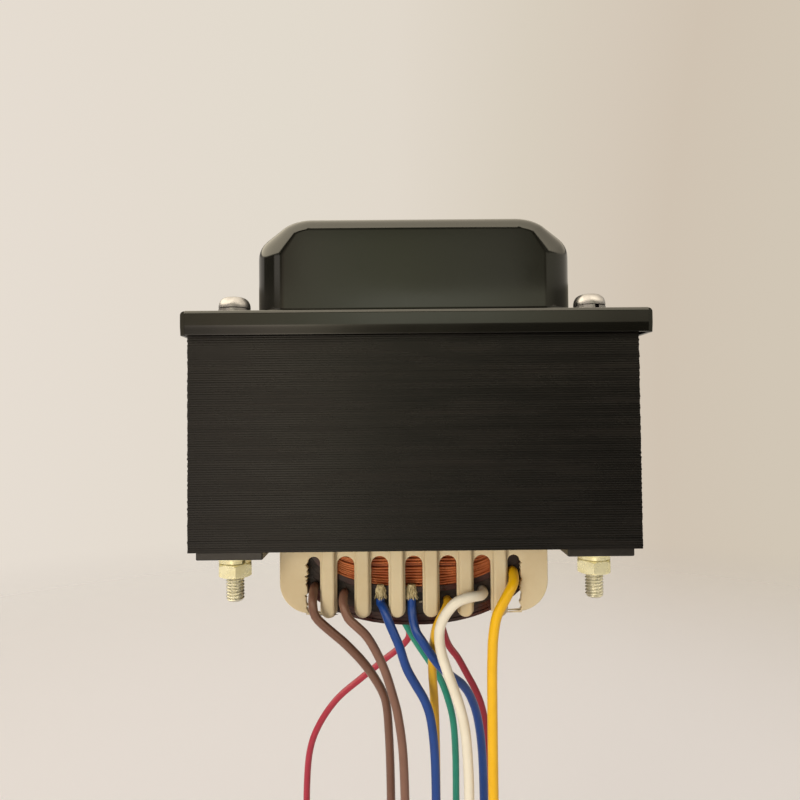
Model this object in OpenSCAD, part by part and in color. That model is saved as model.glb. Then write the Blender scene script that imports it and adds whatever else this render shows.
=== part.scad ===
// Laminated chassis transformer: a stack of interleaved E and I sheets, a comb bobbin with its
// windings, one drawn end bell on top, four through bolts and the flying leads below.
// The origin is the centre of the bolt pattern, level with the lower faces of the nuts.
// Millimetres, +Z towards the end bell, -Y towards the front.

/* [Core] */
// Width of the middle leg that passes through the bobbin
tongue_w = 32; // [26:1:38]
// Width of each outer leg
leg_w = 16; // [14:1:20]
// Width of each window, where the windings lie
window_w = 16; // [14:1:20]
// Length of each window
window_l = 48; // [44:1:60]
// Width of the front and rear yokes
yoke_w = 16; // [14:1:20]
// Thickness of one sheet
sheet_t = 0.48; // [0.3:0.01:0.6]
// Varnish film between two sheets
film_t = 0.02; // [0.01:0.01:0.05]
// Number of sheets in the stack
sheet_count = 100; // [80:2:110]
// Distance of the bolt holes from the edges of the core
hole_inset = 8; // [7:0.5:9]
// Diameter of the bolt holes in the sheets
sheet_hole_d = 5.5; // [4.5:0.1:6.5]

/* [Bobbin] */
// Room between the tongue and the bobbin's tube
tube_clearance = 0.2; // [0.1:0.05:0.5]
// Wall of the bobbin's tube
tube_wall = 1.5; // [1:0.1:2]
// Thickness of the two end plates
flange_t = 1.6; // [1.2:0.1:2]
// Room between an end plate and the window's edges
flange_clearance = 0.3; // [0.1:0.05:0.5]
// Reach of the end plates above the core
upper_reach = 18; // [14:0.5:18.5]
// Corner radius of the end plates above the core
upper_corner_r = 9; // [7:0.5:11]
// Depth of the comb's tooth tips below the core
tooth_reach = 19.1; // [17:0.1:22]
// Width of a comb tooth
tooth_w = 3.95; // [3:0.05:4.5]
// Distance between two teeth
tooth_pitch = 8.08; // [7.4:0.02:8.4]
// Number of teeth
tooth_count = 6; // [4:1:6]
// Width of the narrow slot at each end of the comb
end_slot_w = 2.95; // [2.6:0.05:3.4]
// Depth of the slot ends below the core
slot_start = 4.6; // [4:0.1:7]
// Depth below the core at which the outer edges start to curve in
corner_start = 10.7; // [9:0.1:13]
// Radius of the comb's outer corners
comb_corner_r = 7.2; // [5:0.1:8]
// Width of the rib along each tooth
rib_w = 2.9; // [1.5:0.1:3.4]
// Height of the ribs above the plate
rib_h = 1.4; // [0.8:0.1:1.6]

/* [Windings] */
// Depth of the inner winding beside the tongue
inner_build = 7.3; // [5:0.1:8]
// Rise of the inner winding above and below the core
inner_rise = 12.7; // [9:0.1:15]
// Rise of the finished coil above and below the core
coil_rise = 21.7; // [19:0.1:24]
// Room between the coil and the outer legs
coil_clearance = 0.7; // [0.4:0.05:1.2]
// Room between the coil's ends and the end plates
coil_end_gap = 1.2; // [0.6:0.1:1.6]
// Number of layers in the inner winding
inner_layers = 12; // [6:1:14]
// Number of layers in the outer winding
outer_layers = 8; // [4:1:10]
// Step between the ends of neighbouring layers
layer_step = 0.35; // [0.1:0.05:0.5]
// Depth of the insulation between the two windings, as a part of the outer build
insulation_part = 0.06; // [0.03:0.01:0.1]
// Depth of the outer wrap, as a part of the outer build
wrap_part = 0.08; // [0.04:0.01:0.12]
// Width of the margin tape at each end of the outer winding
margin_w = 2.5; // [1.5:0.1:4]

/* [End bell] */
// Part of its sideways play that the bell sits off centre
bell_side_part = 0.93; // [0:0.01:0.95]
// Sheet thickness of the end bell
bell_t = 1; // [0.8:0.1:1.2]
// Room between the core and the bell's skirt
skirt_gap = 1.05; // [0.9:0.05:1.5]
// Height of the skirt, with the flange
skirt_h = 5.2; // [4:0.1:8]
// Inner radius of the skirt's bend
bend_r = 0.3; // [0.2:0.1:0.6]
// Room between the window's sides and the dome's inner walls
dome_side_gap = 4.8; // [4:0.1:5]
// Room between the window's ends and the dome's inner walls
dome_end_gap = 2; // [1.5:0.1:2.6]
// Room between the coil and the dome's roof
dome_roof_gap = 2.7; // [1.5:0.1:4]
// Plan radius of the dome's corners
dome_corner_r = 7.4; // [6:0.1:8]
// Edge radius along the front and rear of the dome's roof
dome_edge_r = 3.2; // [2.5:0.1:4]
// Edge radius at the top of the dome's side walls
side_edge_r = 5.7; // [4.5:0.1:5.9]
// Radius of the bend from the roof to the slopes at its sides
slope_bend_r = 10; // [6:0.5:12]
// Angle of those slopes
slope_angle = 30; // [20:1:38]
// Width of the straight part of those slopes
slope_w = 4.2; // [2:0.1:6]
// Fillet between the flange and the dome
fillet_r = 3; // [1:0.1:3]
// Diameter of the bell's bolt holes
bell_hole_d = 4.5; // [4.3:0.1:5.5]

/* [Bolts] */
// Thread diameter of the bolts
bolt_d = 4; // [4:0.1:4.2]
// Length of a bolt below its head
bolt_l = 65; // [64:0.5:72]
// Shank diameter, as rolled, inside the core
shank_d = 3.5; // [3.2:0.05:3.55]
// Head diameter
head_d = 7; // [6.6:0.1:8]
// Head height
head_h = 2.6; // [2.2:0.1:3]
// Diameter of the flat washers
washer_d = 9; // [8:0.1:9.4]
// Thickness of the flat washers
washer_t = 0.8; // [0.5:0.1:1]
// Diameter of the spring washers
spring_d = 7.1; // [6.8:0.1:8]
// Thickness of the spring washers
spring_t = 1.1; // [0.8:0.1:1.3]
// Width of the split in a spring washer
split_w = 0.7; // [0.4:0.1:1]
// Width of the nuts across their flats
nut_af = 7; // [6.8:0.1:8]
// Height of the nuts
nut_h = 2.9; // [2.7:0.1:3.5]
// Room between a bolt and what it passes through
bolt_clearance = 0.1; // [0.05:0.01:0.15]
// Chamfer at the bolt's tip
tip_chamfer = 0.5; // [0.3:0.1:0.7]

/* [Clamp rails] */
// Width of the rails under the core
rail_w = 14.2; // [11:0.1:14.4]
// Thickness of the rails
rail_t = 1.8; // [1:0.1:2.2]
// Distance of the rails' outer edges from the core's sides
rail_edge = 1.4; // [0:0.1:1.5]
// Distance of the rails' ends from the core's faces
rail_end = 1; // [0.5:0.1:4]

/* [Leads] */
// Diameter of the thin leads
lead_d = 2.1; // [1.8:0.05:2.2]
// Diameter of the thick leads
thick_lead_d = 2.4; // [2:0.05:2.5]
// Diameter of the tinned strands
strand_d = 1.1; // [0.8:0.05:1.3]
// Length of the tinned strands
strand_l = 6; // [4:0.5:10]
// Diameter of the sleeves over the soldered joints
sleeve_d = 2.6; // [2.4:0.05:2.8]
// Length of those sleeves
sleeve_l = 3.2; // [2.5:0.1:5]
// Diameter of the enamelled wire tails
tail_d = 0.7; // [0.5:0.05:0.9]

/* [Hidden] */
core_w = tongue_w + 2 * (window_w + leg_w);
core_d = window_l + 2 * yoke_w;
sheet_pitch = sheet_t + film_t;
stack_h = sheet_count * sheet_pitch - film_t;
core_z = nut_h + spring_t + washer_t + rail_t;
core_top = core_z + stack_h;
core_mid = core_z + stack_h / 2;
bolt_x = core_w / 2 - hole_inset;
bolt_y = core_d / 2 - hole_inset;
window_x = tongue_w / 2 + window_w;

tube_x = tongue_w / 2 + tube_clearance + tube_wall;
tube_z = stack_h / 2 + tube_clearance + tube_wall;
flange_x = window_x - flange_clearance;
flange_y = window_l / 2 - flange_clearance;
comb_half = (tooth_count - 1) / 2 * tooth_pitch + tooth_w / 2;
slot_w = tooth_pitch - tooth_w;

inner_x = tube_x + inner_build;
coil_x = window_x - coil_clearance;
coil_y = flange_y - flange_t - coil_end_gap;

bell_z = core_top;
bell_top = bell_z + bell_t;
bend_out = bend_r + bell_t;
bell_shift = bell_side_part * (skirt_gap - bend_r);
plate_x = core_w / 2 + skirt_gap - bend_r;
plate_y = core_d / 2 + skirt_gap - bend_r;
dome_x = window_x + dome_side_gap + bell_t;
dome_y = window_l / 2 + dome_end_gap + bell_t;
dome_top = core_top + coil_rise + dome_roof_gap + bell_t;

head_z = bell_top + washer_t + spring_t;
overlap = 0.5;
loose_gap = 0.15;

// Routes of the leads, each from the coil's end or its sleeve down to the stripped end
brown_a_route = [
    [-23.7, -20.9, -5.6], [-23.7, -23, -5.6], [-23.7, -25.2, -6.6], [-23.5, -26.8, -8.8],
    [-22.9, -27.2, -10.8], [-21.3, -27.2, -12.6], [-18.4, -27, -15.2], [-16.1, -26.5, -17.4],
    [-12.5, -25, -21.8], [-10, -23.5, -25.8], [-7.8, -21.8, -30.4], [-6.8, -20.6, -34.5],
    [-6.3, -19.4, -42], [-6, -18.6, -54], [-6, -18.3, -72], [-6, -18.2, -100], [-6, -18.2, -137]];
brown_b_route = [
    [-16.7, -20.9, -7.2], [-16.7, -23, -7.2], [-16.6, -25.4, -8.6], [-15.4, -27, -11.3],
    [-13.1, -27.2, -13.5], [-11.1, -27, -15.6], [-9, -26, -19.5], [-6.9, -24.7, -24.8],
    [-5.1, -23.6, -31.2], [-4, -23.3, -36], [-3, -23.4, -44], [-2.6, -23.6, -56], [-2.5, -23.8, -72],
    [-2.5, -23.8, -100], [-2.5, -23.8, -142]];
blue_a_route = [
    [-8, -22.5, -8.2], [-8, -22.5, -9.6], [-7.9, -23.4, -11.8], [-7.5, -24.8, -13.8],
    [-6.6, -25.9, -15.4], [-5.4, -26.6, -16.9], [-3.9, -26.9, -19.2], [-2.2, -26.5, -23],
    [0, -25.6, -27.2], [2.2, -24.8, -31.4], [3.6, -24.6, -36], [4.4, -24.8, -44], [4.6, -24.9, -56],
    [4.6, -24.9, -72], [4.6, -24.9, -100], [4.6, -24.9, -149]];
blue_b_route = [
    [-0.6, -22.5, -8.2], [-0.6, -22.5, -9.6], [-0.5, -23.4, -11.8], [-0.1, -24.8, -13.8],
    [0.5, -26, -15.4], [1.7, -26.6, -17], [3.4, -26.2, -19.8], [5.8, -24.8, -23.4], [8.7, -22.4, -26.8],
    [11.7, -20, -30], [14, -18, -34.4], [15.6, -16.6, -40], [16.6, -15.6, -48], [17, -15, -60],
    [17, -15, -76], [17, -15, -100], [17, -15, -146]];
yellow_a_route = [
    [8, -20.9, -9.2], [8, -23, -9.2], [7.3, -25, -10.2], [5.9, -26.3, -12.2], [4.9, -26, -14.6],
    [4.4, -23.6, -19.1], [4.2, -21.6, -23.4], [4.3, -20.6, -27.5], [4.7, -20.2, -34], [4.9, -20, -44],
    [4.9, -20, -56], [4.9, -20, -72], [4.9, -20, -100], [4.9, -20, -147]];
white_route = [
    [16.4, -20.9, -7], [16.4, -23.2, -7], [15.3, -25.8, -6.9], [12.6, -27.8, -6.7], [9.6, -28.4, -7.6],
    [7.6, -28.4, -9.6], [6.1, -28.6, -12], [5.5, -28.7, -14.9], [5.9, -28.8, -18.7], [7.3, -28.6, -23.3],
    [8.9, -28.2, -27.9], [10.2, -27.8, -32], [11.4, -27.4, -38], [12, -27.2, -48], [12, -27.2, -60],
    [12, -27.2, -76], [12, -27.2, -100], [12, -27.2, -138]];
yellow_b_route = [
    [23.6, -20.9, -2.4], [23.6, -23, -2.4], [23.1, -25.8, -4], [21.3, -27.4, -6.6], [19.5, -28, -9.5],
    [18.5, -28.3, -11.8], [17.8, -28.5, -16], [17.6, -28.5, -19.8], [17.5, -28.4, -23.4],
    [17.5, -28, -31], [17.5, -27.8, -44], [17.5, -27.8, -56], [17.5, -27.8, -76], [17.5, -27.8, -100],
    [17.5, -27.8, -141]];
green_route = [
    [-8, 20.9, -8], [-8, 23, -8], [-7.6, 25.4, -10], [-6.6, 27, -14], [-5.2, 27.2, -20],
    [-3.6, 26.8, -28], [-1.7, 26, -33.9], [1.3, 24.4, -38.4], [4.6, 22.6, -42], [8.6, 21, -46],
    [11.2, 20.4, -51.4], [12.6, 20.2, -58], [13.2, 20, -68], [13.2, 20, -84], [13.2, 20, -106],
    [13.2, 20, -143]];
red_a_route = [
    [0, 20.9, -8], [0, 23, -8], [0.4, 26, -10], [1, 29, -15], [1.2, 30.4, -22], [0.4, 30.8, -30],
    [-2.4, 31, -39], [-6.5, 31.4, -44.5], [-12, 32, -49], [-17.8, 32.2, -52.8], [-24.6, 32, -58.4],
    [-29.6, 31.6, -64], [-32.6, 31, -72], [-33.6, 30.6, -84], [-33.6, 30.6, -100], [-33.6, 30.6, -134]];
red_b_route = [
    [8, 20.9, -8], [8, 23, -8], [8, 25.4, -10], [8, 26.4, -14], [8.1, 25, -20], [9, 21.4, -27],
    [11, 18.6, -33.7], [14.1, 18, -38.1], [17, 18, -43.4], [19.4, 18, -48], [21.2, 18, -53],
    [22.4, 18, -60], [22.8, 18, -70], [22.8, 18, -84], [22.8, 18, -106], [22.8, 18, -143]];

// Places in X and Z of the enamelled wire tails that cross the coil's front end
tail_y = -coil_y - tail_d / 2 - loose_gap;
tail_routes = [
    [[-6, tail_y, -7.4], [-4.2, tail_y, -8.8], [-2.4, tail_y, -9.5]],
    [[9.6, tail_y, -9.4], [12, tail_y, -9.9], [14.6, tail_y, -9.6]],
    [[1.2, tail_y, -9.5], [3.4, tail_y, -9.2], [6, tail_y, -8.6]]];
// Places of the sleeves' lower ends
sleeve_y = -coil_y - sleeve_d / 2 - 2 * loose_gap;
sleeve_ends = [[-8, sleeve_y, -8.2], [-0.6, sleeve_y, -8.2]];

lead_sides = 8;
ring_step = 5.5;

// Puts a child at each of the four bolts
module at_bolts() {
    for (x = [-1, 1], y = [-1, 1])
        translate([x * bolt_x, y * bolt_y, 0]) children();
}

// Stands a flat outline drawn in X and Z upright, from y = from_y over a length
module upright(from_y, length) {
    translate([0, from_y + length, 0]) rotate([90, 0, 0]) linear_extrude(length) children();
}

// ---- Core ----

module e_outline() {
    difference() {
        translate([-core_w / 2, -core_d / 2]) square([core_w, core_d - yoke_w]);
        for (x = [-window_x, tongue_w / 2])
            translate([x, -window_l / 2]) square([window_w, window_l + 1]);
        for (x = [-bolt_x, bolt_x])
            translate([x, -bolt_y]) circle(d = sheet_hole_d, $fn = 32);
    }
}

module i_outline() {
    difference() {
        translate([-core_w / 2, window_l / 2]) square([core_w, yoke_w]);
        for (x = [-bolt_x, bolt_x])
            translate([x, bolt_y]) circle(d = sheet_hole_d, $fn = 32);
    }
}

// Every second sheet is laid the other way round, so that the joints overlap
module interleaved() {
    for (i = [0:sheet_count - 1])
        translate([0, 0, core_z + i * sheet_pitch])
            mirror([0, i % 2, 0])
                linear_extrude(sheet_t) children();
}

module e_laminations() {
    color("#2a2420") interleaved() e_outline();
}

module i_laminations() {
    color("#302a26") interleaved() i_outline();
}

// ---- Bobbin ----

module tooth(x) {
    translate([x - tooth_w / 2, core_z - tooth_reach + tooth_w / 2])
        square([tooth_w, tooth_reach - slot_start]);
    translate([x, core_z - tooth_reach + tooth_w / 2]) circle(d = tooth_w, $fn = 32);
}

module slot(x, width) {
    translate([x - width / 2, core_z - tooth_reach - 1])
        square([width, tooth_reach + 1 - slot_start - width / 2]);
    translate([x, core_z - slot_start - width / 2]) circle(d = width, $fn = 32);
}

module flange_outline() {
    difference() {
        union() {
            translate([-flange_x, core_z - corner_start])
                square([2 * flange_x, corner_start + stack_h + upper_reach - upper_corner_r]);
            translate([upper_corner_r - flange_x, core_top])
                square([2 * (flange_x - upper_corner_r), upper_reach]);
            for (side = [-1, 1]) {
                translate([side * (flange_x - upper_corner_r), core_top + upper_reach - upper_corner_r])
                    circle(upper_corner_r, $fn = 48);
                translate([side * (flange_x - comb_corner_r), core_z - corner_start])
                    circle(comb_corner_r, $fn = 48);
            }
            for (i = [0:tooth_count - 1])
                tooth((i - (tooth_count - 1) / 2) * tooth_pitch);
        }
        for (i = [1:tooth_count - 1])
            slot((i - tooth_count / 2) * tooth_pitch, slot_w);
        for (side = [-1, 1])
            slot(side * (comb_half + end_slot_w / 2), end_slot_w);
        translate([tube_wall - tube_x, core_mid - tube_z + tube_wall])
            square([2 * (tube_x - tube_wall), 2 * (tube_z - tube_wall)]);
    }
}

module tooth_ribs() {
    rib_top = core_z - flange_clearance;
    rib_bottom = core_z - tooth_reach + tooth_w / 2;
    for (i = [0:tooth_count - 1])
        translate([(i - (tooth_count - 1) / 2) * tooth_pitch, 0]) {
            translate([-rib_w / 2, rib_bottom]) square([rib_w, rib_top - rib_bottom]);
            translate([0, rib_bottom]) circle(d = rib_w, $fn = 24);
        }
}

module bobbin() {
    color("#d9cba6") {
        for (turn = [0, 1])
            mirror([0, turn, 0]) {
                upright(-flange_y, flange_t) flange_outline();
                upright(-flange_y - rib_h, rib_h + flange_t / 2) tooth_ribs();
            }
        upright(-flange_y, 2 * flange_y)
            translate([0, core_mid]) difference() {
                square([2 * tube_x, 2 * tube_z], center = true);
                square([2 * (tube_x - tube_wall), 2 * (tube_z - tube_wall)], center = true);
            }
    }
}

// ---- Windings ----

// One quarter of a winding's outline, from its flat side to its crown
function bulge(half_w, rise, turn) =
    [half_w * pow(cos(turn), 0.9), stack_h / 2 + rise * pow(sin(turn), 0.9)];

// Depth 0 is the tube, 1 the outside of the inner winding and 2 the outside of the coil
function coil_point(depth, turn) =
    depth <= 1
    ? (1 - depth) * [tube_x, tube_z] + depth * bulge(inner_x, inner_rise, turn)
    : (2 - depth) * bulge(inner_x, inner_rise, turn) + (depth - 1) * bulge(coil_x, coil_rise, turn);

turn_steps = 14;
function coil_outline(depth) =
    let (quarter = [for (i = [0:turn_steps]) coil_point(depth, 90 * i / turn_steps)])
    depth == 0 ? [[tube_x, tube_z], [-tube_x, tube_z], [-tube_x, -tube_z], [tube_x, -tube_z]]
    : concat(
        quarter,
        [for (i = [turn_steps:-1:0]) if (i < turn_steps || depth < 1) [-quarter[i].x, quarter[i].y]],
        [for (p = quarter) [-p.x, -p.y]],
        [for (i = [turn_steps:-1:0]) if (i < turn_steps || depth < 1) [quarter[i].x, -quarter[i].y]]);

// A closed band round the bobbin between two depths
module band(from, to, from_y, length) {
    upright(from_y, length)
        translate([0, core_mid]) difference() {
            polygon(coil_outline(to));
            polygon(coil_outline(from));
        }
}

// Layers are a hair apart, so that each stays a piece of its own
module layers(from, to, count, half_l) {
    pitch = (to - from) / count;
    for (i = [0:count - 1]) {
        half = half_l - (i % 2) * layer_step;
        band(from + i * pitch, from + (i + 0.97) * pitch, -half, 2 * half);
    }
}

module inner_winding() {
    color("#b8693c") layers(0, 1, inner_layers, coil_y);
}

module interwinding_insulation() {
    color("#4a2f22") band(1, 1 + insulation_part, -coil_y, 2 * coil_y);
}

module outer_winding() {
    color("#a85c34")
        layers(1 + insulation_part, 2 - wrap_part, outer_layers, coil_y - margin_w);
}

module margin_tape() {
    color("#2e1f1a")
        for (y = [-coil_y, coil_y - margin_w])
            band(1 + insulation_part, 2 - wrap_part, y, margin_w);
}

module outer_wrap() {
    color("#3b1512") band(2 - wrap_part, 2, -coil_y, 2 * coil_y);
}

// ---- End bell ----

// The skirt's bend and wall, drawn outwards from the flat of the flange
module flap_profile() {
    translate([-overlap, -bell_t]) square([overlap, bell_t]);
    intersection() {
        translate([0, -bend_out]) square([bend_out, bend_out]);
        translate([0, -bend_out]) difference() {
            circle(bend_out, $fn = 48);
            circle(bend_r, $fn = 48);
        }
    }
    translate([bend_r, -skirt_h]) square([bell_t, skirt_h - bend_out]);
}

module skirt() {
    for (side = [0, 180])
        rotate([0, 0, side]) {
            translate([plate_x, 0, bell_top]) rotate([90, 0, 0])
                linear_extrude(2 * plate_y, center = true) flap_profile();
            rotate([0, 0, 90]) translate([plate_y, 0, bell_top]) rotate([90, 0, 0])
                linear_extrude(2 * plate_x, center = true) flap_profile();
        }
}

// A round pad with a rounded upper edge
module puck(radius, edge, top) {
    steps = 5;
    rotate_extrude($fn = 32)
        polygon(concat(
            [[0, 0], [radius, 0]],
            [for (i = [0:steps])
                [radius - edge + edge * cos(90 * i / steps), top - edge + edge * sin(90 * i / steps)]],
            [[0, top]]));
}

// A pad in each of the dome's corners, with its centre at x and its front edge at half_y
module corner_pucks(x, half_y, radius, edge, foot, top) {
    for (side = [-1, 1], end = [-1, 1])
        translate([side * x, end * (half_y - radius), foot]) puck(radius, edge, top - foot);
}

// The dome's solid form, drawn in by an inset, from a foot up to its roof: each slope leads from the
// bend at the roof's end down to the rounded upper edge of the side wall
module dome_form(inset, foot) {
    half_x = dome_x - inset;
    half_y = dome_y - inset;
    edge = dome_edge_r - inset;
    side_edge = side_edge_r - inset;
    bend = slope_bend_r - inset;
    roof = dome_top - inset;
    pad = 1.6;
    // The middle of the bend lies over the end of the roof's flat
    bend_x = half_x - side_edge * (1 - sin(slope_angle)) - slope_w - bend * sin(slope_angle);
    side_top = roof - (bend - side_edge) * (1 - cos(slope_angle)) - slope_w * tan(slope_angle);
    hull() {
        corner_pucks(
            dome_x - dome_corner_r, half_y, dome_corner_r - inset, side_edge, foot, side_top);
        for (turn = [0, 0.5, 1] * slope_angle)
            corner_pucks(
                bend_x + (bend - edge) * sin(turn) - pad, half_y, edge + pad, edge, foot,
                roof - (bend - edge) * (1 - cos(turn)));
    }
}

module fillet_profile() {
    steps = 6;
    polygon(concat(
        [[-overlap, -overlap], [fillet_r, -overlap]],
        [for (i = [0:steps])
            [fillet_r - fillet_r * sin(90 * i / steps), fillet_r - fillet_r * cos(90 * i / steps)]],
        [[-overlap, fillet_r]]));
}

module dome_fillet() {
    run_x = dome_x - dome_corner_r;
    run_y = dome_y - dome_corner_r;
    for (side = [0, 180])
        rotate([0, 0, side]) {
            translate([dome_x, 0, bell_top]) rotate([90, 0, 0])
                linear_extrude(2 * run_y, center = true) fillet_profile();
            rotate([0, 0, 90]) translate([dome_y, 0, bell_top]) rotate([90, 0, 0])
                linear_extrude(2 * run_x, center = true) fillet_profile();
            translate([run_x, run_y, bell_top])
                rotate_extrude(angle = 90, $fn = 48) translate([dome_corner_r, 0]) fillet_profile();
            translate([-run_x, run_y, bell_top]) rotate([0, 0, 90])
                rotate_extrude(angle = 90, $fn = 48) translate([dome_corner_r, 0]) fillet_profile();
        }
}

module end_bell() {
    color("#17140f")
        difference() {
            translate([bell_shift, 0, 0]) union() {
                translate([-plate_x, -plate_y, bell_z]) cube([2 * plate_x, 2 * plate_y, bell_t]);
                skirt();
                dome_fillet();
                dome_form(0, bell_z);
            }
            translate([bell_shift, 0, 0]) dome_form(bell_t, bell_z - 1);
            at_bolts() translate([0, 0, bell_z - 1]) cylinder(d = bell_hole_d, h = bell_t + 2, $fn = 32);
        }
}

// ---- Bolts and what they hold ----

module bolt() {
    steps = 6;
    edge = 1.1;
    difference() {
        rotate_extrude($fn = 48)
            polygon(concat(
                [[0, head_z], [head_d / 2, head_z]],
                [for (i = [0:steps])
                    [head_d / 2 - edge + edge * cos(90 * i / steps),
                     head_z + head_h - edge + edge * sin(90 * i / steps)]],
                [[0, head_z + head_h]]));
        for (a = [0, 90])
            translate([0, 0, head_z + head_h]) rotate([0, 0, a]) cube([3.6, 0.8, 2.4], center = true);
    }
    cylinder(d = shank_d, h = head_z + overlap, $fn = 32);
    tip = head_z - bolt_l;
    translate([0, 0, tip + tip_chamfer]) cylinder(d = bolt_d, h = -tip - tip_chamfer, $fn = 32);
    translate([0, 0, tip])
        cylinder(d1 = bolt_d - 2 * tip_chamfer, d2 = bolt_d, h = tip_chamfer, $fn = 32);
}

module core_bolts() {
    color("#c9c9c6") at_bolts() bolt();
}

module flat_washer(z) {
    translate([0, 0, z]) difference() {
        cylinder(d = washer_d, h = washer_t, $fn = 48);
        translate([0, 0, -1]) cylinder(d = bolt_d + 2 * bolt_clearance, h = washer_t + 2, $fn = 32);
    }
}

module spring_washer(z, turn) {
    translate([0, 0, z]) rotate([0, 0, turn]) difference() {
        cylinder(d = spring_d, h = spring_t, $fn = 48);
        translate([0, 0, -1]) cylinder(d = bolt_d + 2 * bolt_clearance, h = spring_t + 2, $fn = 32);
        translate([0, -split_w / 2, -1]) cube([spring_d, split_w, spring_t + 2]);
    }
}

module nut() {
    difference() {
        intersection() {
            cylinder(d = nut_af / cos(30), h = nut_h, $fn = 6);
            rotate_extrude($fn = 48)
                polygon([[0, 0], [nut_af / 2, 0], [nut_af / 2 / cos(30) + 0.1, 0.4],
                    [nut_af / 2 / cos(30) + 0.1, nut_h - 0.4], [nut_af / 2, nut_h], [0, nut_h]]);
        }
        translate([0, 0, -1]) cylinder(d = shank_d + 2 * bolt_clearance, h = nut_h + 2, $fn = 32);
    }
}

module head_flat_washers() {
    color("#c4c4c0") at_bolts() flat_washer(bell_top);
}

module head_spring_washers() {
    color("#b9b9b5") at_bolts() spring_washer(bell_top + washer_t, 200);
}

module nut_flat_washers() {
    color("#c9b98a") at_bolts() flat_washer(nut_h + spring_t);
}

module nut_spring_washers() {
    color("#bdae80") at_bolts() spring_washer(nut_h, 310);
}

module nuts() {
    color("#cdbb84") at_bolts() rotate([0, 0, 30]) nut();
}

module clamp_rail() {
    difference() {
        translate([core_w / 2 - rail_edge - rail_w, rail_end - core_d / 2, core_z - rail_t])
            cube([rail_w, core_d - 2 * rail_end, rail_t]);
        for (y = [-bolt_y, bolt_y])
            translate([bolt_x, y, core_z - rail_t - 1])
                cylinder(d = bell_hole_d, h = rail_t + 2, $fn = 32);
    }
}

module clamp_rail_left() {
    color("#1b1916") mirror([1, 0, 0]) clamp_rail();
}

module clamp_rail_right() {
    color("#1b1916") clamp_rail();
}

// ---- Leads ----

function unit(v) = v / norm(v);

function spline_point(a, b, c, d, t) =
    0.5 * (2 * b + (c - a) * t + (2 * a - 5 * b + 4 * c - d) * t * t + (3 * b - a - 3 * c + d) * t * t * t);

// Points along a smooth curve through a route, about one ring_step apart
function curve(route) =
    let (last = len(route) - 1)
    concat(
        [for (i = [0:last - 1])
            let (a = route[max(i - 1, 0)], b = route[i], c = route[i + 1], d = route[min(i + 2, last)],
                steps = max(1, round(norm(c - b) / ring_step)))
            each [for (j = [0:steps - 1]) spline_point(a, b, c, d, j / steps)]],
        [route[last]]);

// One closed tube with a flat ring at each point of the curve
module cord_tube(route, diameter) {
    path = curve(route);
    last = len(path) - 1;
    points = [for (i = [0:last])
        let (along = unit(path[min(i + 1, last)] - path[max(i - 1, 0)]),
            across = unit(cross(along, [1, 0, 0])),
            up = cross(across, along))
        each [for (k = [0:lead_sides - 1])
            path[i] + diameter / 2 * (cos(360 * k / lead_sides) * across + sin(360 * k / lead_sides) * up)]];
    walls = [for (i = [0:last - 1], k = [0:lead_sides - 1])
        let (a = i * lead_sides, next = (k + 1) % lead_sides)
        [a + k, a + lead_sides + k, a + lead_sides + next, a + next]];
    start = [for (k = [0:lead_sides - 1]) k];
    end = [for (k = [lead_sides - 1:-1:0]) last * lead_sides + k];
    polyhedron(points, concat(walls, [start, end]), convexity = 10);
}

module lead_brown_a() { color("#6d4a3a") cord_tube(brown_a_route, lead_d); }
module lead_brown_b() { color("#7a5544") cord_tube(brown_b_route, lead_d); }
module lead_blue_a() { color("#1f5fae") cord_tube(blue_a_route, lead_d); }
module lead_blue_b() { color("#1f5fae") cord_tube(blue_b_route, lead_d); }
module lead_green() { color("#1d8a72") cord_tube(green_route, lead_d); }
module lead_red_a() { color("#b3223c") cord_tube(red_a_route, lead_d); }
module lead_yellow_a() { color("#e3b321") cord_tube(yellow_a_route, lead_d); }
module lead_white() { color("#efe9dc") cord_tube(white_route, thick_lead_d); }
module lead_red_b() { color("#a3203a") cord_tube(red_b_route, lead_d); }
module lead_yellow_b() { color("#e8b41f") cord_tube(yellow_b_route, thick_lead_d); }

module tinned_tips() {
    color("#c8c8c8")
        for (route = [brown_a_route, brown_b_route, blue_a_route, blue_b_route, yellow_a_route,
                white_route, yellow_b_route, green_route, red_a_route, red_b_route])
            translate(route[len(route) - 1] - [0, 0, strand_l])
                cylinder(d = strand_d, h = strand_l, $fn = 16);
}

module winding_tails() {
    color("#8d7a6a")
        for (route = tail_routes)
            cord_tube(route, tail_d);
}

module joint_sleeves() {
    color("#cdbb92")
        for (end = sleeve_ends)
            translate(end) cylinder(d = sleeve_d, h = sleeve_l, $fn = 24);
}

end_bell();
e_laminations();
i_laminations();
bobbin();
inner_winding();
interwinding_insulation();
outer_winding();
margin_tape();
outer_wrap();
winding_tails();
joint_sleeves();
core_bolts();
head_flat_washers();
head_spring_washers();
clamp_rail_left();
clamp_rail_right();
nut_flat_washers();
nut_spring_washers();
nuts();
lead_brown_a();
lead_brown_b();
lead_blue_a();
lead_blue_b();
lead_green();
lead_red_a();
lead_yellow_a();
lead_white();
lead_red_b();
lead_yellow_b();
tinned_tips();
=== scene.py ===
import math
import random

import bmesh
import bpy
from mathutils import Matrix, Vector


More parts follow.
